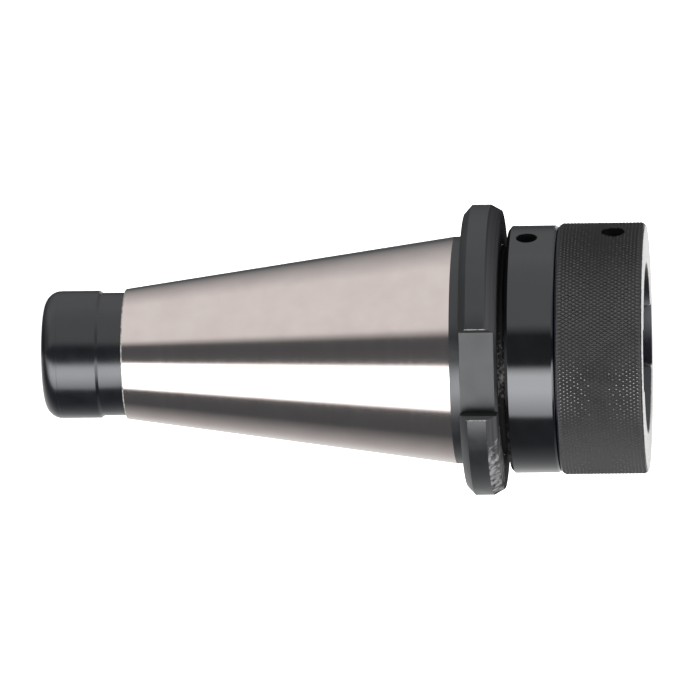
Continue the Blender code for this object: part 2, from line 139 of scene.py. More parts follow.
# Nut
NUT_RADIUS = 38.6
NUT_EDGE = 0.9
# NUT_RIM: the strip of the outer chamfer that is painted pale as a highlight line
NUT_RIM = 0.12
NUT_BORE_EDGE = 0.8
LUG_ROOM = 6.9
LIP_THICKNESS = 6.0
LIP_EDGE = 0.3
MOUTH_RADIUS = 26.0
MOUTH_EDGE = 0.5
BAYONET_WIDTH = 17.2
BAYONET_REACH = 30.5
BAYONET_CORNER = 0.5
BAYONET_LEAD_IN = (1.0, 2.0)
CAM_RISE = 0.7
CAM_ENTRY = 20.0
CAM_RETURN = 165.0
NUT_HOLE = (7.3, 4.5, 9.5, -166.9)  # as the collar's
LOCKING_TURN = 75.0
REST_TURN = -1.6
STOP_SLOT_START = 59.0
STOP_SLOT_SPARE = 2.0
STOP_SLOT_DEPTH = 3.5
KNURL_AROUND = 200
KNURL_ROWS = 24
KNURL_DEPTH = 0.42
KNURL_FLAT = 0.24
KNURL_WORN_ROWS = 8
KNURL_ROWS_ALL_WORN = 3

CUT_PAST = 5.0
DRILL_POINT = 118.0
BODY_SEGMENTS = 320
NUT_SEGMENTS = 2 * KNURL_AROUND
SOFTENING = 0.18

# Finishes, numbered as in the shank's and the nut's lists of materials
COLLAR, GROUND, MILLED, PILOT, FLANGE, RUBBED_HIGHLIGHT, NECK, FLANGE_FRONT = range(8)
KNURL, END_FACE, OILED, CREST, NUT_RUBBED_HIGHLIGHT, NUT_MILLED = range(6)

# Heights, from the pilot's end upwards
z_taper = PILOT_LENGTH
z_gauge = z_taper + TAPER_LENGTH
z_flange = z_gauge + SHOULDER_LENGTH
z_neck = z_flange + FLANGE_THICKNESS
z_collar = z_neck + NECK_LENGTH
z_face = z_collar + COLLAR_LENGTH
z_nut = z_face + RUNNING_GAP
z_seal_groove = z_face + SEAL_SETBACK
seal_groove_width = SEAL_SECTION + 2 * RUNNING_GAP
z_ring_groove = z_seal_groove + seal_groove_width + GROOVE_LAND
ring_groove_width = RING_SECTION + 2 * RUNNING_GAP
z_key_seat = z_ring_groove + ring_groove_width + NOSE_LAND
z_nose = z_key_seat + KEY_SEAT_DEPTH
z_lip = z_nose + LUG_ROOM
z_mouth = z_lip + LIP_THICKNESS
nut_bore = JOURNAL_RADIUS + RUNNING_GAP


def linear(hex_colour):
    """An sRGB hex colour as the linear RGBA that shaders take."""
    channels = [int(hex_colour[start:start + 2], 16) / 255 for start in (0, 2, 4)]
    curve = [c / 12.92 if c <= 0.04045 else ((c + 0.055) / 1.055) ** 2.4 for c in channels]
    return (*curve, 1.0)


def node(tree, kind, settings=None, stops=(), **links):
    """Adds a node with its settings, its ramp's stops and its links.

    A link named i0 or i1 goes to the input with that number. Its value is a socket, a node whose
    first output is meant, or a constant.
    """
    made = tree.nodes.new(kind)
    for name, value in (settings or {}).items():
        setattr(made, name, value)
    if stops:
        elements = made.color_ramp.elements
        while len(elements) < len(stops):
            elements.new(0.5)
        for element, (place, colour) in zip(elements, stops):
            element.position = place
            element.color = colour
    for name, value in links.items():
        key = int(name[1:]) if name[0] == "i" and name[1:].isdigit() else name.replace("_", " ")
        if isinstance(value, bpy.types.Node):
            value = value.outputs[0]
        if isinstance(value, bpy.types.NodeSocket):
            tree.links.new(value, made.inputs[key])
        else:
            made.inputs[key].default_value = value
    return made


def new_material(name):
    """An empty material and its node tree."""
    made = bpy.data.materials.new(name)
    made.use_nodes = True
    made.node_tree.nodes.clear()
    return made, made.node_tree


def cloudy_noise(tree, size_mm, detail=3.0):
    """Noise in soft patches about size_mm across."""
    place = node(tree, "ShaderNodeTexCoord").outputs["Object"]
    return node(tree, "ShaderNodeTexNoise", Vector=place, Scale=1 / (size_mm * MM), Detail=detail)


def turning_lines(tree, pitch_mm, wander=0.3):
    """Noise in rings round the axis, pitch_mm apart: what a turning tool or a wheel leaves.

    Real turning marks are 0.1 to 0.2 mm apart, and grinding marks a few hundredths. Both are too
    fine to show, so they are drawn 0.25 to 0.7 mm apart. The height and the distance from the
    axis are read, so that flat faces get rings too.
    """
    place = node(tree, "ShaderNodeTexCoord").outputs["Object"]
    x, y, z = node(tree, "ShaderNodeSeparateXYZ", Vector=place).outputs
    across = node(tree, "ShaderNodeCombineXYZ", X=x, Y=y)
    radius = node(tree, "ShaderNodeVectorMath", {"operation": "LENGTH"}, i0=across).outputs["Value"]
    turn = node(tree, "ShaderNodeMath", {"operation": "ARCTAN2"}, i0=y, i1=x)
    slow = node(tree, "ShaderNodeMath", {"operation": "MULTIPLY"}, i0=turn, i1=wander)
    rings = node(tree, "ShaderNodeCombineXYZ", X=z, Y=radius)
    scaled = node(tree, "ShaderNodeVectorMath", {"operation": "SCALE"}, i0=rings, Scale=1 / (pitch_mm * MM))
    drift = node(tree, "ShaderNodeCombineXYZ", Z=slow)
    summed = node(tree, "ShaderNodeVectorMath", {"operation": "ADD"}, i0=scaled, i1=drift)
    return node(tree, "ShaderNodeTexNoise", Vector=summed, Scale=1.0, Detail=3.0, Roughness=0.6)


def black_skin(name, dark, pale, roughness, lines_mm=0.5, depth_mm=0.001, ior=1.6):
    """Near black, mirroring the lights dimly, as hot black oxide does over turned steel.

    The turning marks under the skin show as fine rings, and the oil on it leaves its sheen
    patchy. Moulded rubber gets the same, duller.
    """
    made, tree = new_material(name)
    lines = turning_lines(tree, lines_mm)
    patches = cloudy_noise(tree, 6.0, detail=4.0)
    shades = ((0.35, linear(dark)), (0.65, linear(pale)))
    colour = node(tree, "ShaderNodeValToRGB", stops=shades, Fac=patches)
    sheen = node(
        tree, "ShaderNodeMapRange", Value=patches, From_Min=0.25, From_Max=0.75,
        To_Min=roughness * 0.85, To_Max=roughness * 1.2,
    )
    relief = node(tree, "ShaderNodeBump", Height=lines, Distance=depth_mm * MM)
    skin = node(
        tree, "ShaderNodeBsdfPrincipled", Base_Color=colour, Roughness=sheen, IOR=ior,
        Specular_Tint=linear("f8fbff"), Normal=relief,
    )
    node(tree, "ShaderNodeOutputMaterial", Surface=skin)
    return made


def ground_steel(name, dull, bright, roughness):
    """Hardened steel, cylindrically ground: bright, with a hair-fine grain round the axis.

    The grain draws each reflection out a little, and the dull patches keep it from looking plated.
    """
    made, tree = new_material(name)
    grain = turning_lines(tree, 0.25)
    patches = cloudy_noise(tree, 9.0)
    shades = ((0.3, linear(dull)), (0.7, linear(bright)))
    colour = node(tree, "ShaderNodeValToRGB", stops=shades, Fac=patches)
    sheen = node(
        tree, "ShaderNodeMapRange", Value=grain, From_Min=0.25, From_Max=0.75,
        To_Min=roughness * 0.8, To_Max=roughness * 1.25,
    )
    relief = node(tree, "ShaderNodeBump", Height=grain, Distance=0.0012 * MM)
    metal = node(
        tree, "ShaderNodeBsdfPrincipled", Base_Color=colour, Metallic=1.0, Roughness=sheen, Normal=relief
    )
    node(tree, "ShaderNodeOutputMaterial", Surface=metal)
    return made


def rubbed_edge_and_highlight(name, dull, pale):
    """An edge scuffed to the steel: real wear, painted pale as a highlight line that shows from all round.
    """
    made, tree = new_material(name)
    patches = cloudy_noise(tree, 0.8)
    shades = ((0.35, linear(dull)), (0.6, linear(pale)))
    colour = node(tree, "ShaderNodeValToRGB", stops=shades, Fac=patches)
    metal = node(tree, "ShaderNodeBsdfPrincipled", Base_Color=colour, Metallic=0.35, Roughness=0.45)
    node(tree, "ShaderNodeOutputMaterial", Surface=metal)
    return made


def black_scale_and_highlight(name, dark, pale, bare_and_highlight, fleck_mm, highlight_towards, highlight_from):
    """Rough black scale that mirrors nothing, with a painted highlight on one side, ragged at its edge.

    The first two colours are the scale's and the third the painted highlight's. The highlight lies
    in an arc round the given angle, and the last argument is the cosine of half the arc.
    """
    made, tree = new_material(name)
    lines = turning_lines(tree, 0.7)
    flecks = cloudy_noise(tree, fleck_mm, detail=5.0)
    # The pale patch on one side is a painted highlight, standing in for the lights' reflection
    angle = math.radians(highlight_towards)
    place = node(tree, "ShaderNodeTexCoord").outputs["Object"]
    outward = node(
        tree, "ShaderNodeVectorMath", {"operation": "NORMALIZE"},
        i0=node(tree, "ShaderNodeVectorMath", {"operation": "MULTIPLY"}, i0=place, i1=(1, 1, 0)),
    )
    near = node(
        tree, "ShaderNodeVectorMath", {"operation": "DOT_PRODUCT"},
        i0=outward, i1=(math.cos(angle), math.sin(angle), 0),
    ).outputs["Value"]
    border, border_from, border_to = 0.5, 0.24, 0.36
    ragged = node(tree, "ShaderNodeMath", {"operation": "MULTIPLY_ADD"}, i0=flecks, i1=border, i2=near)
    worn_and_sheen = node(
        tree, "ShaderNodeMapRange", Value=ragged, From_Min=highlight_from + border_from,
        From_Max=highlight_from + border_to,
    )
    skin = node(tree, "ShaderNodeValToRGB", stops=((0.35, linear(dark)), (0.7, linear(pale))), Fac=lines)
    # the painted highlight's colour, mottled
    steel = node(tree, "ShaderNodeValToRGB", stops=((0.1, linear(pale)), (0.5, linear(bare_and_highlight))), Fac=flecks)
    colour = node(tree, "ShaderNodeMix", {"data_type": "RGBA"}, Factor=worn_and_sheen, i6=skin, i7=steel).outputs[2]
    relief = node(tree, "ShaderNodeBump", Height=lines, Distance=0.03 * MM)
    scale = node(
        tree, "ShaderNodeBsdfPrincipled", Base_Color=colour, Roughness=0.7, Specular_IOR_Level=0.0,
        Normal=relief,
    )
    node(tree, "ShaderNodeOutputMaterial", Surface=scale)
    return made


def rounded(points, radius, steps=3):
    """A closed section with each corner softened by a small arc. points are (radius, height)."""
    nearly_straight, least_room, room_share = math.radians(172), 0.02, 0.45
    made = []
    count = len(points)
    for index, point in enumerate(points):
        here = Vector(point)
        before = Vector(points[index - 1]) - here
        after = Vector(points[(index + 1) % count]) - here
        room = min(before.length, after.length) * room_share
        bend = before.angle(after)
        if bend > nearly_straight or room < least_room:
            made.append(tuple(here))
            continue
        reach = min(radius / math.tan(bend / 2), room)
        start = here + before.normalized() * reach
        end = here + after.normalized() * reach
        for step in range(steps + 1):
            t = step / steps
            made.append(tuple(start * (1 - t) ** 2 + here * 2 * t * (1 - t) + end * t * t))
    return made


def turned(section_at, segments, finish_at=None):
    """A closed section carried once round Z. section_at(angle) gives (radius, height) points.

    finish_at(radius, height) gives a face's finish by its middle.
    """
    mesh = bmesh.new()
    rings = []
    for step in range(segments):
        angle = 2 * math.pi * step / segments
        points = section_at(angle)
        rings.append([
            mesh.verts.new(Vector((r * math.cos(angle), r * math.sin(angle), z)) * MM) for r, z in points
        ])
    on_axis = [abs(r) < 1e-9 for r, z in points]
    for step, ring in enumerate(rings):
        following = rings[(step + 1) % segments]
        for side in range(len(ring)):
            other = (side + 1) % len(ring)
            if on_axis[side] and on_axis[other]:
                continue
            face = mesh.faces.new((ring[side], following[side], following[other], ring[other]))
            if finish_at:
                (r, z), (r_other, z_other) = points[side], points[other]
                face.material_index = finish_at((r + r_other) / 2, (z + z_other) / 2)
    if any(on_axis):
        bmesh.ops.remove_doubles(mesh, verts=mesh.verts, dist=0.001 * MM)
    return mesh


def lofted(levels):
    """A closed body through flat outlines, each a (height, points) pair with as many points.

    Its sides may be twisted, so they are split. Its two ends are flat and stay whole.
    """
    mesh = bmesh.new()
    rings = []
    for height, points in levels:
        rings.append([mesh.verts.new((x * MM, y * MM, height * MM)) for x, y in points])
    mesh.faces.new(rings[0])
    mesh.faces.new(rings[-1])
    for ring, higher in zip(rings, rings[1:]):
        for side in range(len(ring)):
            other = (side + 1) % len(ring)
            mesh.faces.new((ring[side], ring[other], higher[other], higher[side]))
    bmesh.ops.triangulate(mesh, faces=[face for face in mesh.faces if len(face.verts) == 4])
    bmesh.ops.recalc_face_normals(mesh, faces=mesh.faces)
    return mesh


def to_object(name, mesh, materials=()):
    """The mesh as an object in the scene, its faces turned outwards."""
    bmesh.ops.recalc_face_normals(mesh, faces=mesh.faces)
    data = bpy.data.meshes.new(name)
    mesh.to_mesh(data)
    mesh.free()
    for entry in materials:
        data.materials.append(entry)
    made = bpy.data.objects.new(name, data)
    bpy.context.scene.collection.objects.link(made)
    return made


def cut(target, mesh, materials=()):
    """Takes a shape out of the target at once. The cut faces keep the shape's own material."""
    cutter = to_object("cutter", mesh, materials)
    modifier = target.modifiers.new("cut", "BOOLEAN")
    modifier.operation = "DIFFERENCE"
    modifier.solver = "EXACT"
    modifier.object = cutter
    graph = bpy.context.evaluated_depsgraph_get()
    result = bpy.data.meshes.new_from_object(target.evaluated_get(graph))
    target.modifiers.clear()
    target.data = result
    bpy.data.objects.remove(cutter)


def smooth(target):
    """Round faces shade as one surface, and real edges stay sharp."""
    target.data.shade_smooth()
    target.data.set_sharp_from_angle(angle=math.radians(SMOOTH_ANGLE))


def paint(mesh, finish):
    """Gives every face of a cutter one finish, which the faces that it cuts keep."""
    for face in mesh.faces:
        face.material_index = finish
    return mesh


def radial_drill(size, surface_radius, face_height, sides=64, edge=0.0):
    """Cutter for a hole drilled square to the axis, with a drill's point and a broken edge.

    size is the hole's diameter, depth, distance from the front face and angle.
    """
    diameter, depth, setback, angle = size
    radius = diameter / 2
    point = radius / math.tan(math.radians(DRILL_POINT / 2))
    section = [(0, -depth - point), (radius, -depth), (radius, -edge), (radius + 2 * edge, edge)]
    section += [(radius + 2 * edge, radius), (0, radius)]
    mesh = turned(lambda turn: section, sides)
    outward = Matrix.Rotation(math.radians(angle), 4, "Z") @ Matrix.Rotation(math.pi / 2, 4, "Y")
    place = outward @ Matrix.Translation((0, 0, surface_radius * MM))
    height = (face_height - setback) * MM
    bmesh.ops.transform(mesh, matrix=Matrix.Translation((0, 0, height)) @ place, verts=mesh.verts)
    return mesh


def arc(centre, radius, start, end, count):
    """Points along an arc, both ends among them."""
    points = []
    for step in range(count + 1):
        angle = math.radians(start + (end - start) * step / count)
        points.append((centre[0] + radius * math.cos(angle), centre[1] + radius * math.sin(angle)))
    return points


def shank_section():
    """The shank's section, up its outer side and back down through the socket and the bores."""
    small = GAUGE_RADIUS - TAPER_LENGTH * TAPER_RATIO / 2
    z_relief = z_taper - RELIEF_LENGTH
    relief = PILOT_RADIUS - RELIEF_DEPTH
    seal_floor = JOURNAL_RADIUS + RUNNING_GAP / 2 - SEAL_SECTION - RUNNING_GAP
    ring_floor = JOURNAL_RADIUS - RUNNING_GAP / 2 - RING_SECTION / 2
    z_socket_end = z_nose - SOCKET_LENGTH
    socket_end = SOCKET_RADIUS - (SOCKET_LENGTH - SOCKET_EDGE) * TAPER_RATIO / 2
    points = arc((PILOT_RADIUS - PILOT_ROUND, PILOT_ROUND), PILOT_ROUND, -90, 0, 10)
    sharp = [
        (PILOT_RADIUS, z_relief - RELIEF_EDGE),
        (relief, z_relief),
        (relief, z_taper),
        (small - TAPER_EDGE / 3, z_taper),
        (small + TAPER_EDGE * TAPER_RATIO / 2, z_taper + TAPER_EDGE),
        (GAUGE_RADIUS, z_gauge),
        (GAUGE_RADIUS, z_flange),
        (FLANGE_RADIUS - FLANGE_REAR_BEVEL[0], z_flange),
        (FLANGE_RADIUS, z_flange + FLANGE_REAR_BEVEL[1]),
        (FLANGE_RADIUS, z_neck - FLANGE_FRONT_BEVEL[1]),
        (FLANGE_RADIUS - FLANGE_FRONT_BEVEL[0], z_neck),
        (NECK_RADIUS + NECK_FILLET, z_neck),
        (NECK_RADIUS, z_neck + NECK_FILLET),
        (NECK_RADIUS, z_collar - NECK_FILLET),
        (NECK_RADIUS + NECK_FILLET, z_collar),
        (COLLAR_RADIUS - COLLAR_REAR_BEVEL[0], z_collar),
        (COLLAR_RADIUS, z_collar + COLLAR_REAR_BEVEL[1]),
        (COLLAR_RADIUS, z_face - COLLAR_FRONT_BEVEL[1]),
        (COLLAR_RADIUS - COLLAR_FRONT_BEVEL[0], z_face),
        (JOURNAL_RADIUS, z_face),
        (JOURNAL_RADIUS, z_seal_groove),
        (seal_floor, z_seal_groove),
        (seal_floor, z_seal_groove + seal_groove_width),
        (JOURNAL_RADIUS, z_seal_groove + seal_groove_width),
        (JOURNAL_RADIUS, z_ring_groove),
        (ring_floor, z_ring_groove),
        (ring_floor, z_ring_groove + ring_groove_width),
        (JOURNAL_RADIUS, z_ring_groove + ring_groove_width),
        (JOURNAL_RADIUS, z_nose - NOSE_BEVEL),
        (JOURNAL_RADIUS - NOSE_BEVEL, z_nose),
        (SOCKET_RADIUS + SOCKET_EDGE, z_nose),
        (SOCKET_RADIUS, z_nose - SOCKET_EDGE),
        (socket_end, z_socket_end),
        (THROUGH_BORE_RADIUS, z_socket_end - (socket_end - THROUGH_BORE_RADIUS)),
        (THROUGH_BORE_RADIUS, DRAW_HOLE_DEPTH + (DRAW_HOLE_RADIUS - THROUGH_BORE_RADIUS)),
        (DRAW_HOLE_RADIUS, DRAW_HOLE_DEPTH),
        (DRAW_HOLE_RADIUS, THREAD_LENGTH),
        (THREAD_ROOT_RADIUS, THREAD_LENGTH),
        (THREAD_ROOT_RADIUS, DRAW_HOLE_RADIUS + DRAW_HOLE_MOUTH - THREAD_ROOT_RADIUS),
        (DRAW_HOLE_RADIUS + DRAW_HOLE_MOUTH, 0),
    ]
    return points[:-1] + rounded([points[-1]] + sharp, SOFTENING)


def shank_finish(radius, height):
    """Which finish a face of the shank has, by the middle of the face."""
    hair = 0.01
    on_taper = z_taper - hair < height < z_gauge and radius > TAPER_INNERMOST
    in_socket = z_nose - SOCKET_LENGTH < height < z_nose - 10 * hair and radius < SOCKET_RADIUS + 5 * hair
    before_neck = z_neck - FLANGE_FRONT_BEVEL[1] < height < z_neck + hair
    # The taper's small edge: a scuffed strip, painted pale as a highlight line
    if on_taper and height < z_taper + TAPER_EDGE * 0.8:
        return RUBBED_HIGHLIGHT
    if on_taper or in_socket:
        return GROUND
    if height < z_taper and radius > DRAW_HOLE_RADIUS + DRAW_HOLE_MOUTH:
        return PILOT
    if before_neck and NECK_RADIUS < radius < FLANGE_RADIUS - 10 * hair:
        return FLANGE_FRONT
    if z_gauge < height < z_neck and radius > NECK_RADIUS:
        return FLANGE
    if z_neck < height < z_collar and radius < NECK_RADIUS + NECK_FILLET:
        return NECK
    return COLLAR


def drive_slot(side):
    """Cutter for a drive slot, with the edges of its mouth and its floor's front edge broken.

    The mouth's edges are scuffed in a thin strip: real wear, painted pale as a highlight line.
    """
    half = DRIVE_SLOT_WIDTH / 2
    wide = half + DRIVE_SLOT_EDGE
    corner = math.sqrt(FLANGE_RADIUS**2 - wide**2)
    drop, setback = DRIVE_SLOT_FRONT
    past = NECK_LENGTH / 2
    levels = []
    for height, floor in (
        (z_flange - SHOULDER_LENGTH / 2, DRIVE_SLOT_FLOOR),
        (z_neck - setback, DRIVE_SLOT_FLOOR),
        (z_neck + past, DRIVE_SLOT_FLOOR - drop * (1 + past / setback)),
    ):
        right = [
            (half, floor),
            (half, corner - DRIVE_SLOT_EDGE),
            (wide - RUBBED_HIGHLIGHT_WIDTH, corner - RUBBED_HIGHLIGHT_WIDTH),
            (wide, corner),
            (wide, 2 * FLANGE_RADIUS),
        ]
        outline = right + [(-x, y) for x, y in reversed(right)]
        levels.append((height, [(side * x, side * y) for x, y in outline]))
    mesh = lofted(levels)
    for face in mesh.faces:
        slanting = min(abs(face.normal.x), abs(face.normal.y)) > 0.3
        # the thin strip at the mouth's edges: scuffed steel, painted pale as a highlight line
        rubbed_highlight = slanting and abs(face.calc_center_median().x) > (wide - RUBBED_HIGHLIGHT_WIDTH) * MM
        face.material_index = RUBBED_HIGHLIGHT if rubbed_highlight else MILLED
    return mesh


def plain_drill(radius, bottom, top, x, y):
    """Cutter for a round hole along the axis, at a place beside it."""
    return lofted([(height, arc((x, y), radius, 0, 345, 23)) for height in (bottom, top)])


def drawbar_thread():
    """The thread in the shank's end, as a sleeve in the drawbar hole. Its mouth is chamfered.

    A coarse metric thread in a hole has crests a quarter of the pitch wide, flanks five
    sixteenths each, and roots an eighth.
    """
    around, steps = 64, 16
    mouth = DRAW_HOLE_RADIUS + DRAW_HOLE_MOUTH
    low = mouth - THREAD_ROOT_RADIUS
    rows = int((THREAD_LENGTH - low) / THREAD_PITCH * steps)
    crest, flank = THREAD_PITCH / 4, THREAD_PITCH * 5 / 16
    rings = []
    for row in range(rows + 1):
        height = low + (THREAD_LENGTH - low) * row / rows
        ring = []
        for step in range(around):
            along = (height - THREAD_PITCH * step / around) % THREAD_PITCH
            from_crest = max(min(along, THREAD_PITCH - along) - crest / 2, 0)
            share = min(from_crest / flank, 1.0)
            radius = DRAW_HOLE_RADIUS + (THREAD_ROOT_RADIUS - DRAW_HOLE_RADIUS) * share
            ring.append((min(max(radius, mouth - height), THREAD_ROOT_RADIUS - THREAD_SLEEVE_WALL), height))
        rings.append(ring)
    for height in (THREAD_LENGTH, low):
        rings.append([(THREAD_ROOT_RADIUS, height)] * around)
    mesh = bmesh.new()
    made = []
    for ring in rings:
        points = []
        for step, (radius, height) in enumerate(ring):
            turn = 2 * math.pi * step / around
            place = Vector((radius * math.cos(turn), radius * math.sin(turn), height))
            points.append(mesh.verts.new(place * MM))
        made.append(points)
    for ring, following in zip(made, made[1:] + made[:1]):
        for side in range(around):
            other = (side + 1) % around
            mesh.faces.new((ring[side], ring[other], following[other], following[side]))
    return mesh


def make_shank(finishes):
    """The turned shank with its slots, holes and key seat cut."""
    section = shank_section()
    shank = to_object("shank", turned(lambda turn: section, BODY_SEGMENTS, shank_finish), finishes)
    for side in (-1, 1):
        cut(shank, drive_slot(side), finishes)
    hole = radial_drill(COLLAR_HOLE, COLLAR_RADIUS, z_face, edge=COLLAR_HOLE_EDGE)
    cut(shank, paint(hole, MILLED), finishes)
    half = KEY_WIDTH / 2 + RUNNING_GAP
    reach = JOURNAL_RADIUS + CUT_PAST
    seat = [(-reach, -half), (reach, -half), (reach, half), (-reach, half)]
    cut(shank, paint(lofted([(z_key_seat, seat), (z_nose + CUT_PAST, seat)]), COLLAR), finishes)
    radius, depth, middle, aside = SCREW_HOLE
    for x in (-middle, middle):
        for y in (-aside, aside):
            hole = plain_drill(radius, z_key_seat - depth, z_nose, x, y)
            cut(shank, paint(hole, COLLAR), finishes)
    radius, depth, reach, angle = STOP_PIN_HOLE
    x, y = arc((0, 0), reach, angle, angle, 1)[0]
    cut(shank, paint(plain_drill(radius, z_face - depth, z_nut, x, y), COLLAR), finishes)
    smooth(shank)
    return shank


def make_thread(finish):
    """The thread is its own piece, so that the shank stays a plain turned body."""
    thread = to_object("drawbar_thread", drawbar_thread(), [finish])
    smooth(thread)
    return thread


def lip_height(angle):
    """Height of the lip's underside above the nut's rear face, a cam that draws the lugs in."""
    past_slot = (math.degrees(angle) + 90) % 180
    if past_slot < CAM_ENTRY:
        share = 1.0
    elif past_slot < LOCKING_TURN:
        share = 1.0 - (past_slot - CAM_ENTRY) / (LOCKING_TURN - CAM_ENTRY)
    elif past_slot < CAM_RETURN:
        share = 0.0
    else:
        share = (past_slot - CAM_RETURN) / (180 - CAM_RETURN)
    return z_lip - z_nut + CAM_RISE * share


def nut_inner(angle):
    """The nut's section from its end face, down through the mouth and the bore to its rear face."""
    length = z_mouth - z_nut
    groove = z_ring_groove - z_nut
    groove_radius = JOURNAL_RADIUS + RUNNING_GAP / 2 + RING_SECTION / 2 + RUNNING_GAP
    under = lip_height(angle)
    bend = MOUTH_EDGE * 0.3
    return [
        (NUT_RADIUS - NUT_EDGE + NUT_RIM, length - NUT_RIM),
        (NUT_RADIUS - NUT_EDGE, length),
        (MOUTH_RADIUS + MOUTH_EDGE, length),
        (MOUTH_RADIUS + bend, length - bend),
        (MOUTH_RADIUS, length - MOUTH_EDGE),
        (MOUTH_RADIUS, under + LIP_EDGE),
        (MOUTH_RADIUS + LIP_EDGE, under),
        (nut_bore, under),
        (nut_bore, groove + ring_groove_width),
        (groove_radius, groove + ring_groove_width),
        (groove_radius, groove),
        (nut_bore, groove),
        (nut_bore, NUT_BORE_EDGE),
        (nut_bore + NUT_BORE_EDGE, 0),
        (NUT_RADIUS - NUT_EDGE, 0),
    ]


def bayonet_outline(half):
    """Plan of both bayonet slots as one bar through the mouth, its corners bevelled at the bore."""
    tip_angle = math.degrees(math.asin(half / BAYONET_REACH))
    tip = arc((0, 0), BAYONET_REACH, 90 - tip_angle, 90 + tip_angle, 24)
    corner_height = math.sqrt(MOUTH_RADIUS**2 - half**2)
    neck_half = half + BAYONET_CORNER
    neck_height = math.sqrt(MOUTH_RADIUS**2 - neck_half**2) - RUNNING_GAP
    right = [(neck_half, neck_height), (half, corner_height + BAYONET_CORNER)]
    left = [(-x, y) for x, y in reversed(right)]
    upper = right + tip + left
    lower = [(-x, -y) for x, y in upper]
    return upper + lower


def bayonet_slots():
    """Cutter for both slots, widening to the end face, with a scuffed strip there painted pale as a
    highlight.
    """
    half = BAYONET_WIDTH / 2
    wider, depth = BAYONET_LEAD_IN
    length = z_mouth - z_nut
    rubbed_highlight = RUBBED_HIGHLIGHT_WIDTH
    mesh = lofted([
        (z_nose - z_nut + RUNNING_GAP, bayonet_outline(half)),
        (length - depth, bayonet_outline(half)),
        (length - rubbed_highlight, bayonet_outline(half + wider * (1 - rubbed_highlight / depth))),
        (length + depth, bayonet_outline(half + 2 * wider)),
    ])
    for face in mesh.faces:
        # the strip at the end face: scuffed steel, painted pale as a highlight line
        at_end = face.calc_center_median().z > (length - rubbed_highlight) * MM and abs(face.normal.x) > 0.6
        face.material_index = NUT_RUBBED_HIGHLIGHT if at_end else OILED
    return mesh


def stop_slot():
    """Cutter for the arc slot in the nut's rear face, in which the stop pin runs."""
    half, _, reach, _ = STOP_PIN_HOLE
    start = STOP_SLOT_START
    end = start + LOCKING_TURN + STOP_SLOT_SPARE
    outline = arc((0, 0), reach + half, start, end, 40)
    outline += arc(arc((0, 0), reach, end, end, 1)[0], half, end, end + 180, 10)[1:]
    outline += arc((0, 0), reach - half, end, start, 40)[1:]
    outline += arc(arc((0, 0), reach, start, start, 1)[0], half, start + 180, start + 360, 10)[1:-1]
    return lofted([(-1, outline), (STOP_SLOT_DEPTH, outline)])


